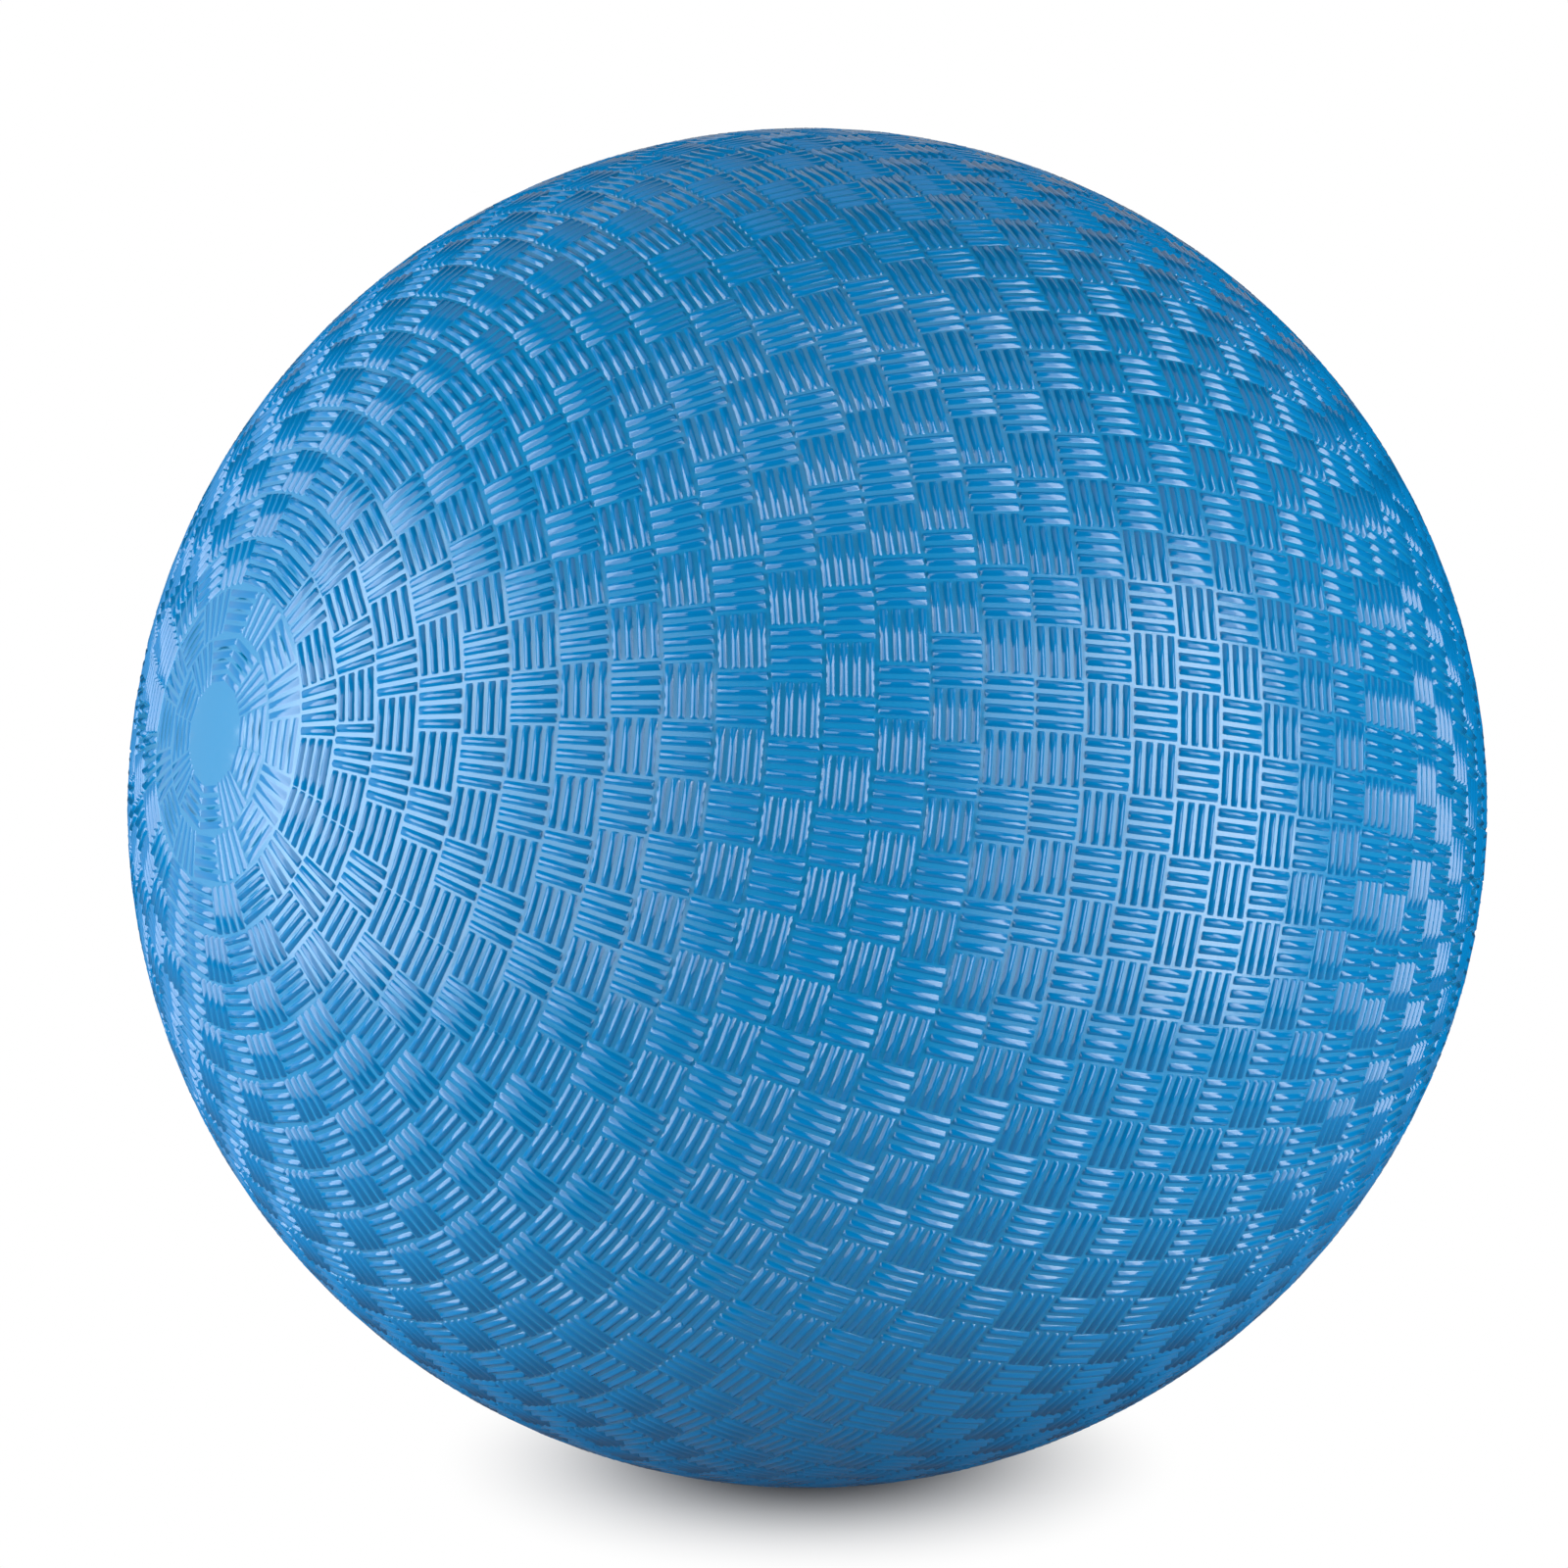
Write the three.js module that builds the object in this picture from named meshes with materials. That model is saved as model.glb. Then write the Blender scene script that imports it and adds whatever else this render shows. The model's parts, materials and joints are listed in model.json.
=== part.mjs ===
// Playground ball: an inflated rubber ball of two plies with a needle valve.
//
// Every piece is turned about one axis, the polar axis, which runs from the bare
// patch on one pole to the valve on the other. The pieces are drawn with that axis
// along Y, patch up and valve down, and the finished ball is then laid over so that
// the patch looks to the front and a little upward, as the ball lies on the ground.
// The origin is the centre of the ball. Lengths are in millimetres and +Z is up.

import * as THREE from 'three';

// Ball
const BALL_DIAMETER = 216; // over the ribs of the tread
const COVER_WALL = 1.5; // outer ply, with the tread
const BLADDER_WALL = 0.9; // inner ply, which holds the air
const PATCH_RISE_DEG = 11.5; // how far the patch looks above the horizon at rest

// Valve housing, a rubber sleeve with a flange bonded under the bladder
const NECK_DIAMETER = 9.4; // passes through both plies
const NECK_RECESS = 0.4; // mouth of the neck below the crown of the ball
const FLANGE_DIAMETER = 34;
const FLANGE_THICKNESS = 1.2;
const STEM_DIAMETER = 10.6; // the sleeve inside the ball
const STEM_FLOOR = 1.8; // closed end of the sleeve, which the needle slits

// Valve core, a soft rubber plug pushed into the housing
const CORE_DIAMETER = 5.2;
const CORE_LENGTH = 15.5; // from its face to its inner end
const CORE_RECESS = 0.3; // face of the core below the mouth of the neck
const HEAD_DIAMETER = 7; // head that stops in the neck
const HEAD_THICKNESS = 1.3;
const NEEDLE_HOLE_DIAMETER = 1.6; // guides the pump's needle
const NEEDLE_HOLE_DEPTH = 9; // from the face of the core
const LEAD_IN_DIAMETER = 2.8; // funnel at the mouth of the needle hole
const LEAD_IN_DEPTH = 0.7;

// Gap left between faces that touch
const FIT_GAP = 0.3;

// Steps that round the turned shapes
const TURN_STEPS = 48;
const ARC_STEPS = 22; // pole to pole, past the flange
const FLANGE_STEPS = 3; // from the valve hole to the rim of the flange

// Radii of the nested shells, from the outside in
const coverOuter = BALL_DIAMETER / 2;
const coverInner = coverOuter - COVER_WALL;
const bladderOuter = coverInner - FIT_GAP;
const bladderInner = bladderOuter - BLADDER_WALL;
const flangeOuter = bladderInner - FIT_GAP;
const flangeInner = flangeOuter - FLANGE_THICKNESS;

// Radii across the valve
const neckRadius = NECK_DIAMETER / 2;
const valveHoleRadius = neckRadius + FIT_GAP;
const stemRadius = STEM_DIAMETER / 2;
const flangeRadius = FLANGE_DIAMETER / 2;
const coreRadius = CORE_DIAMETER / 2;
const boreRadius = coreRadius + FIT_GAP;
const headRadius = HEAD_DIAMETER / 2;
const seatRadius = headRadius + FIT_GAP;

// Depths along the valve, measured inward from the crown of the ball
const neckMouth = NECK_RECESS;
const coreFace = neckMouth + CORE_RECESS;
const headBack = coreFace + HEAD_THICKNESS;
const headSeat = headBack + FIT_GAP;
const coreEnd = coreFace + CORE_LENGTH;
const boreFloor = coreEnd + FIT_GAP;
const stemEnd = boreFloor + STEM_FLOOR;

// A point of a profile: distance from the axis, and depth below the crown at the valve.
function atDepth(radius, depth) {
  return new THREE.Vector2(radius, depth - coverOuter);
}

// Points on a sphere about the centre of the ball, from one angle off the valve to another.
function arc(sphereRadius, fromAngle, toAngle, steps) {
  const points = [];
  for (let i = 0; i <= steps; i += 1) {
    const angle = fromAngle + ((toAngle - fromAngle) * i) / steps;
    const radius = i === steps && toAngle === Math.PI ? 0 : sphereRadius * Math.sin(angle);
    points.push(new THREE.Vector2(radius, -sphereRadius * Math.cos(angle)));
  }
  return points;
}

// Angle off the valve at which a sphere stands a given distance from the axis.
function angleAt(sphereRadius, radius) {
  return Math.asin(radius / sphereRadius);
}

// Half profile of a sphere from the edge of the valve hole, past the rim of the
// flange, to the pole of the patch. The stretch at the flange has the finer steps.
function shellArc(sphereRadius) {
  const hole = angleAt(sphereRadius, valveHoleRadius);
  const rim = angleAt(sphereRadius, flangeRadius + FIT_GAP);
  const atFlange = arc(sphereRadius, hole, rim, FLANGE_STEPS);
  const beyond = arc(sphereRadius, rim, Math.PI, ARC_STEPS);
  return [...atFlange, ...beyond.slice(1)];
}

// A hollow ball with the valve hole through its wall.
function shellProfile(outerRadius, innerRadius) {
  const inside = shellArc(innerRadius).reverse();
  const outside = shellArc(outerRadius);
  return [...inside, ...outside];
}

// Sleeve closed at its inner end, with the seat of the core's head in its mouth
// and a flange that follows the curve of the bladder.
function housingProfile() {
  const rimAngle = angleAt(flangeOuter, flangeRadius);
  const outerFace = arc(flangeOuter, angleAt(flangeOuter, neckRadius), rimAngle, FLANGE_STEPS);
  const innerFace = arc(flangeInner, rimAngle, angleAt(flangeInner, stemRadius), FLANGE_STEPS);
  return [
    atDepth(0, boreFloor),
    atDepth(boreRadius, boreFloor),
    atDepth(boreRadius, headSeat),
    atDepth(seatRadius, headSeat),
    atDepth(seatRadius, neckMouth),
    atDepth(neckRadius, neckMouth),
    ...outerFace,
    ...innerFace,
    atDepth(stemRadius, stemEnd),
    atDepth(0, stemEnd),
  ];
}

// Headed plug with a blind hole that guides the needle.
function coreProfile() {
  const holeRadius = NEEDLE_HOLE_DIAMETER / 2;
  return [
    atDepth(0, coreFace + NEEDLE_HOLE_DEPTH),
    atDepth(holeRadius, coreFace + NEEDLE_HOLE_DEPTH),
    atDepth(holeRadius, coreFace + LEAD_IN_DEPTH),
    atDepth(LEAD_IN_DIAMETER / 2, coreFace),
    atDepth(headRadius, coreFace),
    atDepth(headRadius, headBack),
    atDepth(coreRadius, headBack),
    atDepth(coreRadius, coreEnd),
    atDepth(0, coreEnd),
  ];
}

function turned(name, profile, material) {
  const mesh = new THREE.Mesh(new THREE.LatheGeometry(profile, TURN_STEPS), material);
  mesh.name = name;
  return mesh;
}

function rubber(color, roughness) {
  return new THREE.MeshStandardMaterial({ color, roughness, metalness: 0 });
}

const ball = new THREE.Group();
ball.add(turned('cover', shellProfile(coverOuter, coverInner), rubber(0x0a6cb4, 0.42)));
ball.add(turned('bladder', shellProfile(bladderOuter, bladderInner), rubber(0x202124, 0.7)));
ball.add(turned('valve_housing', housingProfile(), rubber(0x0d5f9f, 0.5)));
ball.add(turned('valve_core', coreProfile(), rubber(0x1b1c1e, 0.6)));

// Lay the ball over: the patch turns from straight up to the front (-Y), and the
// valve to the back.
ball.rotation.x = Math.PI - THREE.MathUtils.degToRad(PATCH_RISE_DEG);

const part = new THREE.Group();
part.add(ball);

export default part;
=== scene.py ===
# %% [markdown]
# # A playground ball
# This lesson dresses a simple solid model of a rubber playground ball for a picture.
# The solids give the sizes and the places: a cover, a bladder inside it, and a needle
# valve on one pole. What they leave out is what the hand feels first, the basket-weave
# tread that is moulded into the cover, and that is most of the work here.

# %% Load the solids
import json
import math

import bmesh
import bpy
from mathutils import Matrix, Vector


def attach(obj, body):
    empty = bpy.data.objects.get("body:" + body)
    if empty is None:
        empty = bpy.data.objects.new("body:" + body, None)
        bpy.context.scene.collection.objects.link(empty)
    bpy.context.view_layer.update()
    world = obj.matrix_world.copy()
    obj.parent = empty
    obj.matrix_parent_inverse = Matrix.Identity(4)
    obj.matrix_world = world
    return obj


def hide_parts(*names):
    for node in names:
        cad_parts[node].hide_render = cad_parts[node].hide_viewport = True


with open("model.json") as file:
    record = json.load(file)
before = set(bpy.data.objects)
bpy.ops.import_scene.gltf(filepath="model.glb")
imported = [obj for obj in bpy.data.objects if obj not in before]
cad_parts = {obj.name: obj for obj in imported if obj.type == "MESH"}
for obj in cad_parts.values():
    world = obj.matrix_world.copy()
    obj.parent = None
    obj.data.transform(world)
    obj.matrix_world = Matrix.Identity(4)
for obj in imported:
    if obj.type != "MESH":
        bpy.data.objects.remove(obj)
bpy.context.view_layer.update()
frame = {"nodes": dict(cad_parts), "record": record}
print("solids:", sorted(frame["nodes"]))

# %% [markdown]
# ## Where things are
# A ball has a centre and, because of how its mould is cut, two poles. The bare patch is
# on one pole and the valve on the other. The record gives both: its ground mount lies one
# radius under the centre, and the axis of its valve mount is the polar axis. Everything
# below is drawn with the patch straight up the Z axis, and `lay` then turns it over to
# where the ball lies.

# %% The ball's radius and its polar axis
MM = 0.001
mounts = {mount["name"]: mount for mount in frame["record"]["mounts"]}
BALL_RADIUS = -mounts["ground_contact"]["pos_m"][2]
patch_axis = -Vector(mounts["valve_face"]["axis"])
lay = Vector((0, 0, 1)).rotation_difference(patch_axis)
unlay = lay.inverted()
print("radius", round(BALL_RADIUS / MM, 2), "mm")
print("patch looks along", [round(v, 3) for v in patch_axis])

# %% [markdown]
# ## The camera
# The outline of a ball is a circle, which gives the middle of the picture's perspective
# and, with the spacing of the tread's rings, the distance. The picture is taken from a
# little above, and from the right of the patch. A small lens shift puts the ball as far
# right of the middle and as low as it is in the photograph.

# %% Camera
PICTURE = 1600  # pixels along a side
OUTLINE_X, OUTLINE_Y, OUTLINE_RADIUS = 823.85, 824.4, 694.1  # pixels
DISTANCE_IN_RADII = 7.18
VIEW_TURN, VIEW_RISE = math.radians(-33.5), math.radians(10)


def direction(turn, rise):
    """Unit vector at a turn about the upright axis and a rise above the horizon."""
    level = math.cos(rise)
    return Vector((math.cos(turn) * level, math.sin(turn) * level, math.sin(rise)))


toward_camera = direction(VIEW_TURN, VIEW_RISE)
focal_pixels = OUTLINE_RADIUS * math.sqrt(DISTANCE_IN_RADII**2 - 1)
lens = bpy.data.cameras.new("Camera")
lens.lens = lens.sensor_width * focal_pixels / PICTURE
lens.shift_x = (PICTURE / 2 - OUTLINE_X) / PICTURE
lens.shift_y = (OUTLINE_Y - PICTURE / 2) / PICTURE
camera = bpy.data.objects.new("Camera", lens)
camera.location = toward_camera * DISTANCE_IN_RADII * BALL_RADIUS
camera.rotation_euler = (-toward_camera).to_track_quat("-Z", "Y").to_euler()
bpy.context.scene.collection.objects.link(camera)
bpy.context.scene.camera = camera
print("lens", round(lens.lens, 1), "mm at", round(camera.location.length, 3), "m")

# %% [markdown]
# ## Two helpers for nodes
# Colours are written as the hex values that an eye would pick from a picture, and Blender
# calculates with linear light, so one function converts them. Another adds a node with its
# settings and links, which keeps a tree readable as a list of steps.

# %% Colour and node helpers
def linear(hex_colour):
    shares = [int(hex_colour[i : i + 2], 16) / 255 for i in (1, 3, 5)]
    return [s / 12.92 if s <= 0.04045 else ((s + 0.055) / 1.055) ** 2.4 for s in shares] + [1]


def add(tree, kind, links=None, **settings):
    """Adds a node. Links are its inputs, each a value or the node or output it comes from."""
    node = tree.nodes.new(kind)
    for name, value in settings.items():
        setattr(node, name, value)
    for name, value in (links or {}).items():
        if isinstance(value, bpy.types.Node):
            value = value.outputs[0]
        if isinstance(value, bpy.types.NodeSocket):
            tree.links.new(value, node.inputs[name])
        else:
            node.inputs[name].default_value = value
    return node


# %% [markdown]
# ## Moulded blue rubber
# The cover is blue rubber, vulcanised in a metal mould. The ribs come out of slots that
# were milled into the mould, so they are smooth and glossy. They are drawn a deeper blue
# than the ground, and that is painted shade: it darkens each rib from its foot up, so that
# the weave reads as dark bars on a paler ground. The ground between them comes from the
# blasted face of the mould, so it is satin and finely speckled, and it keeps the thin waxy
# bloom that rubber sweats out, which hands wipe off the ribs. A coat stands for the bloom,
# and it makes the ground paler than the ribs where a light is mirrored. The tread stores
# how far up a rib each point is in an attribute called `rib`, and the material reads it:
# low means ground, high means rib. A speckle of a quarter of a millimetre is the finest
# that shows in the picture, so it is drawn that coarse.

# %% Blue rubber: its colours
GROUND_BLUE, GROUND_DEEP = "#0081B8", "#007AAE"  # the ground drifts between these
# The ribs' deeper blue is painted shade, which makes the weave read as dark bars.
RIB_BLUE_PAINTED_SHADE = "#0072AD"
DRIFT = 30 * MM
RIB_STARTS, RIB_FULL = 0.03, 0.3  # up the rib, as shares of its height
COLOUR_A, COLOUR_B, COLOUR_OUT = 6, 7, 2  # the sockets for colours on a Mix node

blue_rubber = bpy.data.materials.new("Moulded blue rubber")
blue_rubber.use_nodes = True
tree = blue_rubber.node_tree
shader = tree.nodes["Principled BSDF"]
where = add(tree, "ShaderNodeTexCoord").outputs["Object"]
rib = add(tree, "ShaderNodeAttribute", attribute_name="rib").outputs["Fac"]
on_rib = add(tree, "ShaderNodeMapRange", {
    "Value": rib, "From Min": RIB_STARTS, "From Max": RIB_FULL})
clouds = add(tree, "ShaderNodeTexNoise", {"Vector": where, "Scale": 1 / DRIFT, "Detail": 3})
ground = add(tree, "ShaderNodeMix", {
    "Factor": clouds, COLOUR_A: linear(GROUND_BLUE), COLOUR_B: linear(GROUND_DEEP),
}, data_type="RGBA")
# Painted shade: from a little way up each rib, its colour turns to the deeper blue.
skin = add(tree, "ShaderNodeMix", {
    "Factor": on_rib, COLOUR_A: ground.outputs[COLOUR_OUT], COLOUR_B: linear(RIB_BLUE_PAINTED_SHADE),
}, data_type="RGBA")
tree.links.new(skin.outputs[COLOUR_OUT], shader.inputs["Base Color"])
print("material:", blue_rubber.name)

# %% Blue rubber: its gloss, bloom and speckle
RUBBER_IOR = 1.52
GROUND_ROUGHNESS, RIB_ROUGHNESS = 0.26, 0.12
BLOOM, BLOOM_ROUGHNESS, BLOOM_IOR = 0.5, 0.26, 1.5
SPECKLE, SPECKLE_DEPTH = 0.28 * MM, 0.1 * MM
GROUND_SPECKLE, RIB_SPECKLE = 0.1, 0.02  # how strongly it shows

shader.inputs["IOR"].default_value = RUBBER_IOR
gloss = add(tree, "ShaderNodeMapRange", {
    "Value": on_rib, "To Min": GROUND_ROUGHNESS, "To Max": RIB_ROUGHNESS})
tree.links.new(gloss.outputs[0], shader.inputs["Roughness"])
bloom = add(tree, "ShaderNodeMapRange", {"Value": on_rib, "To Min": BLOOM, "To Max": 0.0})
tree.links.new(bloom.outputs[0], shader.inputs["Coat Weight"])
shader.inputs["Coat Roughness"].default_value = BLOOM_ROUGHNESS
shader.inputs["Coat IOR"].default_value = BLOOM_IOR
grit = add(tree, "ShaderNodeTexNoise", {"Vector": where, "Scale": 1 / SPECKLE, "Detail": 2})
rough = add(tree, "ShaderNodeMapRange", {
    "Value": on_rib, "To Min": GROUND_SPECKLE, "To Max": RIB_SPECKLE})
bump = add(tree, "ShaderNodeBump", {
    "Height": grit, "Strength": rough, "Distance": SPECKLE_DEPTH})
for socket in ("Normal", "Coat Normal"):
    tree.links.new(bump.outputs[0], shader.inputs[socket])
print("rubber tree:", len(tree.nodes), "nodes")

# %% [markdown]
# ## One rib
# The tread repeats one shape nearly ten thousand times: a low ridge with sloping sides, a
# rounded crest and blunt ends, on its own strip of ground. It could be a separate bar laid
# on a ball, but a real rib is one skin with the ground, so the strip is drawn with it, in
# as few faces as carry its highlights. Its sides slope at about forty-five degrees and ease
# over into the crest, so from the front they mirror the lights at either side, which is
# what draws the weave. A tile is four such strips, and every side of a tile gets points at
# its quarters, so that tiles turned either way share their edges. The line where the rib
# leaves the ground is marked sharp, which keeps the shading of the two apart.

# %% Rib, in a unit tile
RIBS_PER_TILE = 4
RIB_SHARE = 0.66  # rib width at its foot, as a share of the pitch
TOP_SHARE = 0.35  # of that width, what the rounded crest takes
SHOULDER = 0.85  # height of the edges of the crest, as a share of the rib's height
END_GAP = 0.008  # ground left at each end, as a share of the tile
END_RUN = 0.04  # length of the slope at each end
CORNER = 0.84  # width of the very end, as a share of the rib's

half = RIB_SHARE / RIBS_PER_TILE / 2
tip = 0.5 - END_GAP
profile = [(-1, 0), (-TOP_SHARE, SHOULDER), (0, 1), (TOP_SHARE, SHOULDER), (1, 0)]
blunt = [(CORNER * share, 0) for share in (-1, -0.5, 0, 0.5, 1)]
rows = ((-tip, blunt), (END_RUN - tip, profile), (tip - END_RUN, profile), (tip, blunt))
ROW = len(profile)
points = [(half * x, along, z) for along, row in rows for x, z in row]
faces = []
for first in (0, ROW, 2 * ROW):
    faces += [(i, i + 1, i + 1 + ROW, i + ROW) for i in range(first, first + ROW - 1)]
print("rib alone:", len(faces), "faces")

# %% Its strip of ground, and the mesh
side = 0.5 / RIBS_PER_TILE
QUARTERS = (-0.5, -0.25, 0, 0.25, 0.5)  # where the sides of a tile have points
left, right = len(points), len(points) + len(QUARTERS)
for foot, g, sign in ((0, left, -1), (ROW - 1, right, 1)):
    points += [(sign * side, along, 0) for along in QUARTERS]
    r0, r1, r2, r3 = range(foot, 4 * ROW, ROW)
    strip = [
        (g, r0, r1), (g, r1, g + 1), (g + 1, r1, g + 2), (g + 2, r1, r2),
        (g + 2, r2, g + 3), (g + 3, r2, g + 4), (g + 4, r2, r3),
    ]
    faces += strip if sign < 0 else [face[::-1] for face in strip]
faces += [(left, 1, 0), (left, 2, 1), (left, right, 2), (right, 3, 2), (right, 4, 3)]
left_end, right_end = left + 4, right + 4
faces += [
    (left_end, 15, 16), (left_end, 16, 17), (left_end, 17, right_end),
    (right_end, 17, 18), (right_end, 18, 19),
]
creases = {(i, i + 1) for i in (0, 1, 2, 3, 15, 16, 17, 18)}  # round the foot of the rib
creases |= {(i, i + ROW) for i in (0, 5, 10, 4, 9, 14)}

rib_mesh = bpy.data.meshes.new("rib")
rib_mesh.from_pydata(points, [], faces, shade_flat=False)
sharp = rib_mesh.attributes.new("sharp_edge", "BOOLEAN", "EDGE")
for edge in rib_mesh.edges:
    sharp.data[edge.index].value = tuple(sorted(edge.vertices)) in creases
rib_object = bpy.data.objects.new("rib", rib_mesh)
lowest = min(face.normal.z for face in rib_mesh.polygons)
print("rib with its ground:", len(rib_mesh.polygons), "faces, lowest normal", round(lowest, 3))

# %% [markdown]
# ## The tread
# Rings of tiles run round the ball from pole to pole. In the belt at the equator every
# ring has the same number of tiles and they stand as a chequerboard. Nearer the poles each
# ring is filled in four quarters, with as many tiles as fit, and each quarter starts with
# a tile whose ribs run along the ring, so where a quarter has an odd number two such tiles
# meet. Each ring starts most of a tile further round than the ring nearer the pole, so that
# most neighbours cross as in a weave, and both halves of the ball are laid alike, as from
# two halves of a mould. All this is a rule, so Geometry Nodes lay the tiles out: they place
# them on a flat map of longitude and latitude, with the height of the rib standing up from
# it, and then wrap the map round the ball. On the patch, and near the valve, the ribs sink.

# %% Tree of the tread: inputs
tread = bpy.data.node_groups.new("Basket-weave tread", "GeometryNodeTree")
tread.interface.new_socket("Tread", in_out="OUTPUT", socket_type="NodeSocketGeometry")
identifiers = {}
for name, kind in (
    ("Rib", "Object"), ("Rubber", "Material"), ("First ring", "Int"), ("Rings", "Int"),
    ("Ring pitch", "Float"), ("Tiles by girth", "Float"), ("Belt tiles", "Int"),
    ("Belt edge", "Float"), ("Turn per ring", "Float"), ("Ground radius", "Float"),
    ("Rib height", "Float"), ("Seam", "Float"), ("Patch edge", "Float"),
    ("Valve edge", "Float"), ("Fade", "Float"), ("Patch relief", "Float"),
):
    socket = tread.interface.new_socket(
        name, in_out="INPUT", socket_type="NodeSocket" + kind)
    identifiers[name] = socket.identifier
given = add(tread, "NodeGroupInput").outputs
print("tread inputs:", len(identifiers))

# %% Tree of the tread: which ring, which tile
MOST_TILES = 96  # places laid out in each ring, of which a ring keeps what it needs
index = add(tread, "GeometryNodeInputIndex")
share = add(tread, "ShaderNodeMath", {0: index, 1: MOST_TILES}, operation="DIVIDE")
row = add(tread, "ShaderNodeMath", {0: share}, operation="FLOOR")
tile = add(tread, "ShaderNodeMath", {0: index, 1: MOST_TILES}, operation="MODULO")
ring = add(tread, "ShaderNodeMath", {0: row, 1: given["First ring"]}, operation="ADD")
middle = add(tread, "ShaderNodeMath", {0: ring, 1: 0.5}, operation="ADD")
polar = add(tread, "ShaderNodeMath", {0: middle, 1: given["Ring pitch"]}, operation="MULTIPLY")
latitude = add(tread, "ShaderNodeMath", {0: math.pi / 2, 1: polar}, operation="SUBTRACT")
off_belt = add(tread, "ShaderNodeMath", {0: latitude}, operation="ABSOLUTE")
in_belt = add(tread, "FunctionNodeCompare", {
    0: off_belt, 1: given["Belt edge"]}, operation="LESS_THAN")

# %% Tree of the tread: how many tiles in the ring
LEAST_IN_QUARTER = 3  # with fewer, straight ribs would cut across the tightest ring
girth = add(tread, "ShaderNodeMath", {0: latitude}, operation="COSINE")
fits = add(tread, "ShaderNodeMath", {
    0: girth, 1: given["Tiles by girth"]}, operation="MULTIPLY")
in_quarter = add(tread, "ShaderNodeMath", {0: fits, 1: 4}, operation="DIVIDE")
in_quarter = add(tread, "ShaderNodeMath", {0: in_quarter}, operation="ROUND")
in_quarter = add(tread, "ShaderNodeMath", {
    0: in_quarter, 1: LEAST_IN_QUARTER}, operation="MAXIMUM")
belt_quarter = add(tread, "ShaderNodeMath", {0: given["Belt tiles"], 1: 4}, operation="DIVIDE")
quarter = add(tread, "GeometryNodeSwitch", {
    "Switch": in_belt, "False": in_quarter, "True": belt_quarter}, input_type="FLOAT")
tiles = add(tread, "ShaderNodeMath", {0: quarter, 1: 4}, operation="MULTIPLY")
step = add(tread, "ShaderNodeMath", {0: 2 * math.pi, 1: tiles}, operation="DIVIDE")

# %% Tree of the tread: where a tile goes
to_pole = add(tread, "ShaderNodeMath", {0: math.pi / 2, 1: off_belt}, operation="SUBTRACT")
rings_in = add(tread, "ShaderNodeMath", {
    0: to_pole, 1: given["Ring pitch"]}, operation="DIVIDE")
turned = add(tread, "ShaderNodeMath", {
    0: rings_in, 1: given["Turn per ring"]}, operation="MULTIPLY")
start = add(tread, "ShaderNodeMath", {0: turned, 1: 2 * math.pi}, operation="MODULO")
start = add(tread, "GeometryNodeSwitch", {
    "Switch": in_belt, "False": start, "True": 0.0}, input_type="FLOAT")
centre = add(tread, "ShaderNodeMath", {0: tile, 1: 0.5}, operation="ADD")
longitude = add(tread, "ShaderNodeMath", {
    0: centre, 1: step, 2: start}, operation="MULTIPLY_ADD")
place = add(tread, "ShaderNodeCombineXYZ", {"X": longitude, "Y": latitude})

# %% Tree of the tread: how a tile is turned and stretched
in_row = add(tread, "ShaderNodeMath", {0: tile, 1: quarter}, operation="MODULO")
chequer = add(tread, "ShaderNodeMath", {0: tile, 1: ring}, operation="ADD")
count = add(tread, "GeometryNodeSwitch", {
    "Switch": in_belt, "False": in_row, "True": chequer}, input_type="FLOAT")
odd = add(tread, "ShaderNodeMath", {0: count, 1: 2}, operation="MODULO")
upright = add(tread, "FunctionNodeCompare", {0: odd, 1: 0.5}, operation="GREATER_THAN")
lying = add(tread, "FunctionNodeCompare", {0: odd, 1: 0.5}, operation="LESS_THAN")
seams = add(tread, "ShaderNodeMath", {0: given["Seam"], 1: 2}, operation="MULTIPLY")
depth = add(tread, "ShaderNodeMath", {
    0: given["Ring pitch"], 1: seams}, operation="SUBTRACT")
stretch = add(tread, "ShaderNodeCombineXYZ", {"X": step, "Y": depth, "Z": 1.0})

# %% Tree of the tread: tiles on the map
one_rib = add(tread, "GeometryNodeObjectInfo", {"Object": given["Rib"]}).outputs["Geometry"]
row_of_ribs = add(tread, "GeometryNodeMeshLine", {
    "Count": RIBS_PER_TILE, "Start Location": (side - 0.5, 0, 0), "Offset": (2 * side, 0, 0)})
ribs = add(tread, "GeometryNodeInstanceOnPoints", {"Points": row_of_ribs, "Instance": one_rib})
up_tile = add(tread, "GeometryNodeRealizeInstances", {0: ribs})
flat_tile = add(tread, "GeometryNodeTransform", {
    "Geometry": up_tile, "Rotation": (0, 0, math.pi / 2)})
places = add(tread, "ShaderNodeMath", {
    0: given["Rings"], 1: MOST_TILES}, operation="MULTIPLY")
laid = add(tread, "GeometryNodePoints", {"Count": places, "Position": place})
kept = add(tread, "FunctionNodeCompare", {0: centre, 1: tiles}, operation="LESS_THAN")
map_tiles = add(tread, "GeometryNodeJoinGeometry")
for shape, wanted in ((up_tile, upright), (flat_tile, lying)):
    both = add(tread, "FunctionNodeBooleanMath", {0: wanted, 1: kept}, operation="AND")
    tiles_here = add(tread, "GeometryNodeInstanceOnPoints", {
        "Points": laid, "Instance": shape, "Selection": both, "Scale": stretch})
    tread.links.new(tiles_here.outputs[0], map_tiles.inputs[0])
flat_map = add(tread, "GeometryNodeRealizeInstances", {0: map_tiles})

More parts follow.
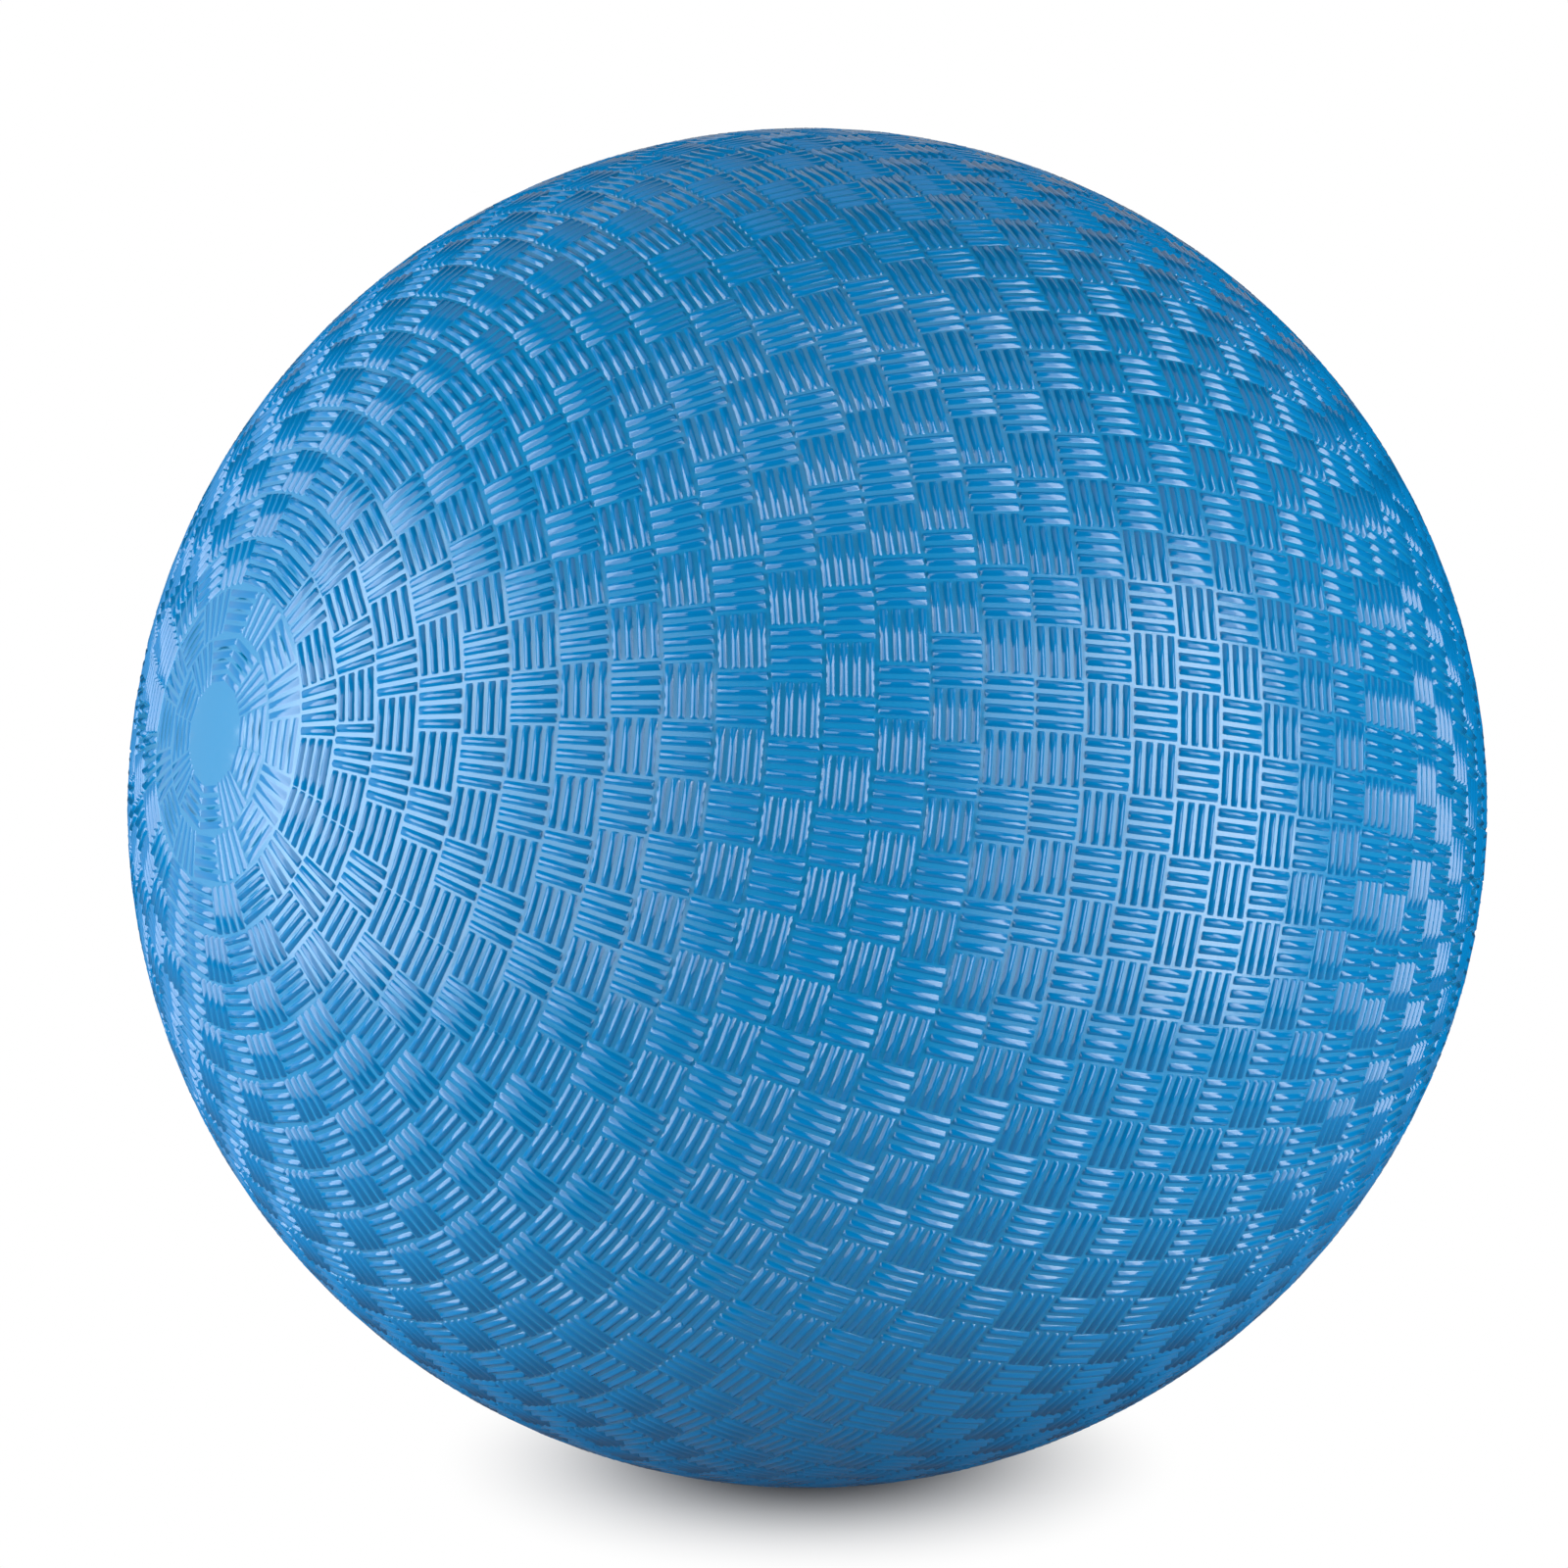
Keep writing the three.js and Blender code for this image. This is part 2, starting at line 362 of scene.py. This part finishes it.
# %% Tree of the tread: how far the ribs stand up
position = add(tread, "GeometryNodeInputPosition")
spot = add(tread, "ShaderNodeSeparateXYZ", {0: position}).outputs
marked = add(tread, "GeometryNodeStoreNamedAttribute", {
    "Geometry": flat_map, "Name": "rib", "Value": spot["Z"]}, data_type="FLOAT")
from_patch = add(tread, "ShaderNodeMath", {0: math.pi / 2, 1: spot["Y"]}, operation="SUBTRACT")
from_valve = add(tread, "ShaderNodeMath", {0: math.pi / 2, 1: spot["Y"]}, operation="ADD")
relief = 1.0
for angle, edge, least in (
    (from_patch, given["Patch edge"], given["Patch relief"]),
    (from_valve, given["Valve edge"], 0.0),
):
    end = add(tread, "ShaderNodeMath", {0: edge, 1: given["Fade"]}, operation="ADD")
    rise = add(tread, "ShaderNodeMapRange", {
        "Value": angle, "From Min": edge, "From Max": end, "To Min": least, "To Max": 1.0,
    }, interpolation_type="SMOOTHSTEP")
    relief = add(tread, "ShaderNodeMath", {0: relief, 1: rise}, operation="MULTIPLY")
tall = add(tread, "ShaderNodeMath", {
    0: relief, 1: given["Rib height"]}, operation="MULTIPLY")
radius = add(tread, "ShaderNodeMath", {
    0: tall, 1: spot["Z"], 2: given["Ground radius"]}, operation="MULTIPLY_ADD")

# %% Tree of the tread: wrap the map round the ball
WELD = 0.003 * MM  # points nearer than this become one
cos_lat = add(tread, "ShaderNodeMath", {0: spot["Y"]}, operation="COSINE")
sin_lat = add(tread, "ShaderNodeMath", {0: spot["Y"]}, operation="SINE")
cos_long = add(tread, "ShaderNodeMath", {0: spot["X"]}, operation="COSINE")
sin_long = add(tread, "ShaderNodeMath", {0: spot["X"]}, operation="SINE")
across = add(tread, "ShaderNodeMath", {0: radius, 1: cos_lat}, operation="MULTIPLY")
x = add(tread, "ShaderNodeMath", {0: across, 1: cos_long}, operation="MULTIPLY")
y = add(tread, "ShaderNodeMath", {0: across, 1: sin_long}, operation="MULTIPLY")
z = add(tread, "ShaderNodeMath", {0: radius, 1: sin_lat}, operation="MULTIPLY")
on_sphere = add(tread, "ShaderNodeCombineXYZ", {"X": x, "Y": y, "Z": z})
wrapped = add(tread, "GeometryNodeSetPosition", {"Geometry": marked, "Position": on_sphere})
joined = add(tread, "GeometryNodeMergeByDistance", {"Geometry": wrapped, "Distance": WELD})
turned_over = add(tread, "GeometryNodeTransform", {
    "Geometry": joined, "Rotation": lay.to_euler()})
finished = add(tread, "GeometryNodeSetMaterial", {
    "Geometry": turned_over, "Material": given["Rubber"]})
add(tread, "NodeGroupOutput", {0: finished})
print("tread tree:", len(tread.nodes), "nodes")

# %% [markdown]
# ## Three zones of tread
# The whole tread is half a million triangles, which is heavy for one mesh, so the cover is
# made as three zones: the side of the patch, the belt, and the side of the valve. The same
# tree makes each one from its own first ring and number of rings. A modifier's inputs are
# set by their identifiers, and the result is turned into a plain mesh.

# %% Sizes of the tread
RING_DEGREES = 4
RING_PITCH = math.radians(RING_DEGREES)
RIB_HEIGHT = 0.50 * MM
GROUND_RADIUS = BALL_RADIUS - RIB_HEIGHT
SEAM = 0.1 * MM / BALL_RADIUS
TILES_ROUND = 86  # at the equator
tread_sizes = {
    "Rib": rib_object,
    "Rubber": blue_rubber,
    "Ring pitch": RING_PITCH,
    "Tiles by girth": float(TILES_ROUND),
    "Belt tiles": TILES_ROUND,
    "Belt edge": math.radians(18),
    "Turn per ring": math.radians(-3.15),
    "Ground radius": GROUND_RADIUS,
    "Rib height": RIB_HEIGHT,
    "Seam": SEAM,
    "Patch edge": math.radians(11.6),
    "Valve edge": math.radians(7.6),
    "Fade": math.radians(1.2),
    "Patch relief": 0.22,
}
print("tile:", round(RING_PITCH * BALL_RADIUS / MM, 2), "mm deep")

# %% The zones
PATCH_END, BELT_START, BELT_END, VALVE_END = 1, 18, 27, 43  # in rings from the patch's pole


def zone_of_tread(name, first_ring, past_ring):
    zone = bpy.data.objects.new(name, bpy.data.meshes.new(name))
    bpy.context.scene.collection.objects.link(zone)
    laying = zone.modifiers.new("Tread", "NODES")
    laying.node_group = tread
    rings = {"First ring": first_ring, "Rings": past_ring - first_ring}
    for size, value in {**tread_sizes, **rings}.items():
        laying[identifiers[size]] = value
    depsgraph = bpy.context.evaluated_depsgraph_get()
    zone.data = bpy.data.meshes.new_from_object(zone.evaluated_get(depsgraph))
    zone.data.name = name
    zone.modifiers.clear()
    print(name, len(zone.data.polygons), "faces")
    return zone


patch_side = zone_of_tread("cover_patch_side", PATCH_END, BELT_START)
belt = zone_of_tread("cover_belt", BELT_START, BELT_END)
valve_side = zone_of_tread("cover_valve_side", BELT_END, VALVE_END)

# %% [markdown]
# ## Closing the skin
# The rings have different numbers of tiles, so their edges don't share points. A narrow
# seam is left between rings and filled by walking round both edges at once and always
# stepping to whichever point comes next. The same walk joins any two rounds of points, so
# it also makes the plain cap on the patch, the boss round the valve, the cut edges of each
# zone and the inside of the cover. Each zone ends as a closed solid.

# %% Walk round two edges at once
def stitch(bm, first, second):
    """Fills between two rounds of (longitude, point), whatever the count of each."""
    i = j = 0
    made = []
    while i < len(first) or j < len(second):
        a, b = first[i % len(first)], second[j % len(second)]
        next_a, next_b = first[(i + 1) % len(first)], second[(j + 1) % len(second)]
        at_a = next_a[0] + 2 * math.pi * (i + 1 >= len(first))
        at_b = next_b[0] + 2 * math.pi * (j + 1 >= len(second))
        if j >= len(second) or (i < len(first) and at_a <= at_b):
            made.append(bm.faces.new((a[1], next_a[1], b[1])))
            i += 1
        else:
            made.append(bm.faces.new((a[1], next_b[1], b[1])))
            j += 1
    return made


# %% Turn a profile about the polar axis
def on_ball(radius, *degrees):
    """Points of a profile on a sphere: distance from the axis and height, by polar angle."""
    angles = [math.radians(d) for d in degrees]
    return [(radius * math.sin(a), radius * math.cos(a)) for a in angles]


def lathe(bm, first, rows):
    """Turns a profile of (distance from the axis, height) on from a first round of points."""
    made = []
    for distance, height in rows:
        if distance == 0:
            pole = bm.verts.new(lay @ Vector((0, 0, height)))
            for a, b in zip(first, first[1:] + first[:1]):
                made.append(bm.faces.new((a[1], b[1], pole)))
            return made, None
        turn = []
        for angle, _ in first:
            spot = Vector((distance * math.cos(angle), distance * math.sin(angle), height))
            turn.append((angle, bm.verts.new(lay @ spot)))
        made += stitch(bm, first, turn)
        first = turn
    return made, first


# %% Edges of the rings
def ring_edges(bm):
    """Rounds of (longitude, point) by the ring border they lie at: -1 before it, 1 past it."""
    rounds = {}
    for point in {v for edge in bm.edges if edge.is_boundary for v in edge.verts}:
        spot = unlay @ point.co
        polar = math.acos(spot.z / spot.length)
        border = round(polar / RING_PITCH)
        past = 1 if polar > border * RING_PITCH else -1
        longitude = math.atan2(spot.y, spot.x)
        rounds.setdefault((border, past), []).append((longitude, point))
    return {key: sorted(found, key=lambda item: item[0]) for key, found in rounds.items()}


# %% Close a zone
SHARP = math.radians(50)  # a corner of the added faces past this is shaded as an edge


def close(zone, finish_zone):
    bm = bmesh.new()
    bm.from_mesh(zone.data)
    bm.faces.ensure_lookup_table()
    rubber = bm.faces[0].material_index
    rounds = ring_edges(bm)
    made = []
    for border, past in sorted(rounds):
        if past < 0 and (border, 1) in rounds:
            made += stitch(bm, rounds[border, -1], rounds[border, 1])
    made += finish_zone(bm, rounds)
    for face in made:
        face.smooth = True
        face.material_index = rubber
    bmesh.ops.recalc_face_normals(bm, faces=bm.faces)
    for edge in {edge for face in made for edge in face.edges}:
        if len(edge.link_faces) == 2 and edge.calc_face_angle() > SHARP:
            edge.smooth = False
    gaps = sum(not edge.is_manifold for edge in bm.edges)
    millilitres = round(bm.calc_volume(signed=True) * 1e6, 2)
    bm.to_mesh(zone.data)
    bm.free()
    triangles = sum(len(face.vertices) - 2 for face in zone.data.polygons)
    print(zone.name, triangles, "triangles, open edges", gaps, "rubber", millilitres, "ml")


# %% Patch side: plain cap, cut edge and inside
COVER_WALL = 1.5 * MM
INSIDE = BALL_RADIUS - COVER_WALL
BELT_FROM = BELT_START * RING_DEGREES  # degrees from the patch's pole


def finish_patch_side(bm, rounds):
    cap, _ = lathe(bm, rounds[PATCH_END, 1], on_ball(GROUND_RADIUS, 3, 2, 1, 0))
    cut = on_ball(GROUND_RADIUS, BELT_FROM)
    lining = on_ball(INSIDE, *range(BELT_FROM, -1, -8))
    inside, _ = lathe(bm, rounds[BELT_START, -1], cut + lining)
    return cap + inside


close(patch_side, finish_patch_side)

# %% Belt: both cut edges and the inside
BELT_TO = BELT_END * RING_DEGREES


def finish_belt(bm, rounds):
    cut = on_ball(GROUND_RADIUS, BELT_FROM)
    lining = on_ball(INSIDE, *range(BELT_FROM, BELT_TO + 1, 6))
    inside, last = lathe(bm, rounds[BELT_START, 1], cut + lining)
    edge, rim = lathe(bm, rounds[BELT_END, -1], on_ball(GROUND_RADIUS, BELT_TO))
    return inside + edge + stitch(bm, rim, last)


close(belt, finish_belt)

# %% [markdown]
# Round the valve the mould has a plain turned boss, level with the tops of the ribs, so
# that a pump's needle finds smooth rubber. The hole through it has a softened mouth.

# %% Valve side: boss, hole, inside and cut edge
HOLE_RADIUS = 5.0 * MM
BOSS_FOOT = ((0, 172.2), (0.35, 172.3), (0.8, 172.5))  # height in ribs, polar angle
BOSS_TOP = (172.8, 174, 175.5, 176.9)  # polar angles
MOUTH = ((0.3, 0.16), (0.08, 0.26), (0, 0.5))  # mm wider than the hole, mm deep


def finish_valve_side(bm, rounds):
    rows = []
    for height, degrees in BOSS_FOOT:
        rows += on_ball(GROUND_RADIUS + height * RIB_HEIGHT, degrees)
    rows += on_ball(BALL_RADIUS, *BOSS_TOP)
    rows += [(HOLE_RADIUS + wider * MM, deep * MM - BALL_RADIUS) for wider, deep in MOUTH]
    rows += [(HOLE_RADIUS, -math.sqrt(INSIDE**2 - HOLE_RADIUS**2))]
    rows += on_ball(INSIDE, 176, *range(172, BELT_TO - 1, -8))
    made, last = lathe(bm, rounds[VALVE_END, -1], rows)
    edge, rim = lathe(bm, rounds[BELT_END, 1], on_ball(GROUND_RADIUS, BELT_TO))
    return made + edge + stitch(bm, rim, last)


close(valve_side, finish_valve_side)

# %% The cover rides on the ball and stands for its solid
for zone in (patch_side, belt, valve_side):
    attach(zone, "root")
    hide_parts("cover")

# %% [markdown]
# ## Inner rubber
# The bladder and the valve are plain mouldings whose solids are right as they are, so they
# keep them and only get their rubber. The bladder is black and dull with a dusting of talc
# that keeps it from sticking in the mould. The valve's sleeve is a darker, denser blue, and
# its core a black plug that is a little smoother than the bladder.

# %% Black bladder rubber and valve rubber
GRAIN, GRAIN_DEPTH, GRAIN_STRENGTH = 0.3 * MM, 0.05 * MM, 0.25

for node, name, dark, pale, roughness, dust_size in (
    ("bladder", "Talced black bladder rubber", "#1F2023", "#3A3B3E", 0.68, 3.0 * MM),
    ("valve_housing", "Blue valve rubber", "#0B5D99", "#0F6CAD", 0.45, 1.2 * MM),
    ("valve_core", "Black valve-core rubber", "#1A1B1D", "#292A2C", 0.55, 0.8 * MM),
):
    rubber = bpy.data.materials.new(name)
    rubber.use_nodes = True
    tree = rubber.node_tree
    shader = tree.nodes["Principled BSDF"]
    shader.inputs["IOR"].default_value = RUBBER_IOR
    shader.inputs["Roughness"].default_value = roughness
    where = add(tree, "ShaderNodeTexCoord").outputs["Object"]
    dust = add(tree, "ShaderNodeTexNoise", {
        "Vector": where, "Scale": 1 / dust_size, "Detail": 4})
    tint = add(tree, "ShaderNodeMix", {
        "Factor": dust, COLOUR_A: linear(dark), COLOUR_B: linear(pale)}, data_type="RGBA")
    tree.links.new(tint.outputs[COLOUR_OUT], shader.inputs["Base Color"])
    grain = add(tree, "ShaderNodeTexNoise", {"Vector": where, "Scale": 1 / GRAIN})
    bump = add(tree, "ShaderNodeBump", {
        "Height": grain, "Strength": GRAIN_STRENGTH, "Distance": GRAIN_DEPTH})
    tree.links.new(bump.outputs[0], shader.inputs["Normal"])
    materials = frame["nodes"][node].data.materials
    materials.clear()
    materials.append(rubber)
    print(node, "is", name)

# %% [markdown]
# ## Floor and light
# To the camera the floor is pale and runs out to white, while the ball's shadow stays. What
# it throws back on the ball is duller, so that the underside keeps its blue. Each side has
# a bright soft box that rakes the tread, with a dimmer panel on its inner side, so that its
# gleam on the satin ground fades out softly toward the middle. A faint panel further back
# on the left carries the gleam on over the bare patch. A weak box overhead and another
# behind keep the top and the back in view, and the world adds almost nothing.

# %% Floor
FLOOR_RADIUS = 0.24
FLOOR_SEEN, FLOOR_THROWN = "#C8C8C8", "#A8A8A8"
WHITE_FROM, WHITE_AT = 14 * MM, 62 * MM  # from the point of contact

rim = [math.radians(a) for a in range(0, 360, 5)]
corners = [(FLOOR_RADIUS * math.cos(a), FLOOR_RADIUS * math.sin(a), -BALL_RADIUS) for a in rim]
floor_mesh = bpy.data.meshes.new("floor")
floor_mesh.from_pydata(corners, [], [range(len(corners))])
floor = bpy.data.objects.new("floor", floor_mesh)
bpy.context.scene.collection.objects.link(floor)
print("floor", 2 * FLOOR_RADIUS, "m across")

# %% Its white paper
paper = bpy.data.materials.new("White paper floor")
paper.use_nodes = True
tree = paper.node_tree
tree.nodes.clear()
matte = add(tree, "ShaderNodeBsdfDiffuse", {"Color": linear(FLOOR_SEEN)})
dull = add(tree, "ShaderNodeBsdfDiffuse", {"Color": linear(FLOOR_THROWN)})
white = add(tree, "ShaderNodeEmission", {"Strength": 1.0})
where = add(tree, "ShaderNodeTexCoord").outputs["Object"]
from_contact = add(tree, "ShaderNodeVectorMath", {
    0: where, 1: (0, 0, -BALL_RADIUS)}, operation="DISTANCE").outputs["Value"]
fade = add(tree, "ShaderNodeMapRange", {
    "Value": from_contact, "From Min": WHITE_FROM, "From Max": WHITE_AT,
}, interpolation_type="SMOOTHSTEP")
seen = add(tree, "ShaderNodeMixShader", {0: fade, 1: matte, 2: white})
eye = add(tree, "ShaderNodeLightPath").outputs["Is Camera Ray"]
surface = add(tree, "ShaderNodeMixShader", {0: eye, 1: dull, 2: seen})
add(tree, "ShaderNodeOutputMaterial", {0: surface})
floor_mesh.materials.append(paper)
print("material:", paper.name)

# %% World
ROOM_LIGHT = 0.02
WHITE = (1, 1, 1, 1)

world = bpy.data.worlds.new("Studio")
bpy.context.scene.world = world
world.use_nodes = True
tree = world.node_tree
tree.nodes.clear()
eye = add(tree, "ShaderNodeLightPath").outputs["Is Camera Ray"]
room = add(tree, "ShaderNodeBackground", {"Color": WHITE, "Strength": ROOM_LIGHT})
backdrop = add(tree, "ShaderNodeBackground", {"Color": WHITE, "Strength": 1.0})
background = add(tree, "ShaderNodeMixShader", {0: eye, 1: room, 2: backdrop})
add(tree, "ShaderNodeOutputWorld", {0: background})
bpy.context.scene.view_settings.view_transform = "Standard"
print("world:", world.name)

# %% Soft boxes, placed by the turn from the camera and the rise above the floor
for name, turn, rise, distance, width, height, brightness in (
    ("left_soft_box", -75, 8, 0.9, 0.74, 0.95, 5.0),
    ("left_glow", -36, 8, 0.9, 0.56, 0.95, 2.5),
    ("left_rear_glow", -118, 8, 0.9, 0.62, 0.95, 0.6),
    ("right_soft_box", 68, 6, 0.9, 0.42, 1.00, 6.2),
    ("right_glow", 42, 6, 0.9, 0.42, 1.00, 2.8),
    ("overhead_soft_box", 30, 75, 0.9, 0.9, 0.7, 0.7),
    ("back_soft_box", 180, 35, 1.1, 0.9, 0.7, 0.7),
):
    lamp = bpy.data.lights.new(name, "AREA")
    lamp.shape = "RECTANGLE"
    lamp.size, lamp.size_y = width, height
    lamp.energy = brightness * width * height * math.pi
    box = bpy.data.objects.new(name, lamp)
    toward = direction(VIEW_TURN + math.radians(turn), math.radians(rise))
    box.location = toward * distance
    box.rotation_euler = (-toward).to_track_quat("-Z", "Y").to_euler()
    bpy.context.scene.collection.objects.link(box)
    print(name, "at", [round(v, 2) for v in box.location])
